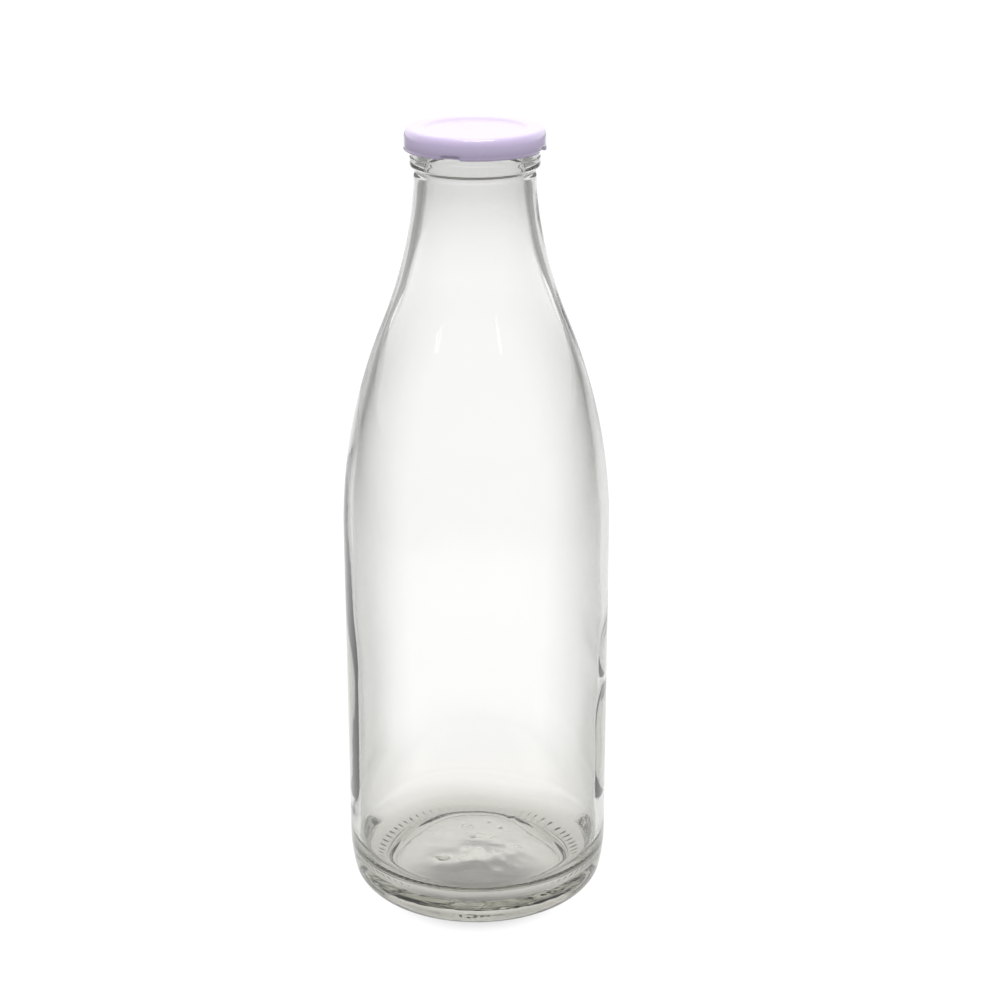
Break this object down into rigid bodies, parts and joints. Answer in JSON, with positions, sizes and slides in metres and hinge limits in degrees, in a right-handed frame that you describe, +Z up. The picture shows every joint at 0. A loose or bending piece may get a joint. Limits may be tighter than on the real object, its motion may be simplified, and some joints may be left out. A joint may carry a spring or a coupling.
{
  "type": "glass milk bottle",
  "caption": "Round clear glass milk bottle with a long tapering shoulder, a wide mouth and a twist-off metal lug cap.",
  "frame": {"origin": "centre of the bearing ring, in the plane that the bottle stands on", "axes": "+Z up the bottle's axis to the cap, -Y towards the front, +X to the right"},
  "size_m": [0.09, 0.09, 0.2664],
  "materials": {
    "clear_glass": "clear polished flint glass",
    "lacquered_tinplate": "gloss pale lilac lacquer on thin steel sheet",
    "sealing_compound": "soft matte flowed-in compound"
  },
  "bodies": {
    "glass": {"bottle": "clear_glass"},
    "seal": {"cap_gasket": "sealing_compound"},
    "cap": {"cap_shell": "lacquered_tinplate"}
  },
  "joints": [
    {"name": "cap_rise", "type": "slide", "parent": "glass", "child": "seal", "axis": [0, 0, 1], "range_m": [0, 0.0145]},
    {"name": "cap_turn", "type": "hinge", "parent": "seal", "child": "cap", "pos_m": [0, 0, 0.26], "axis": [0, 0, 1], "range_deg": [0, 360]}
  ],
  "couplings": [
    {"joint": "cap_rise", "follows": "cap_turn", "m_per_rad": 0.0022918}
  ]
}
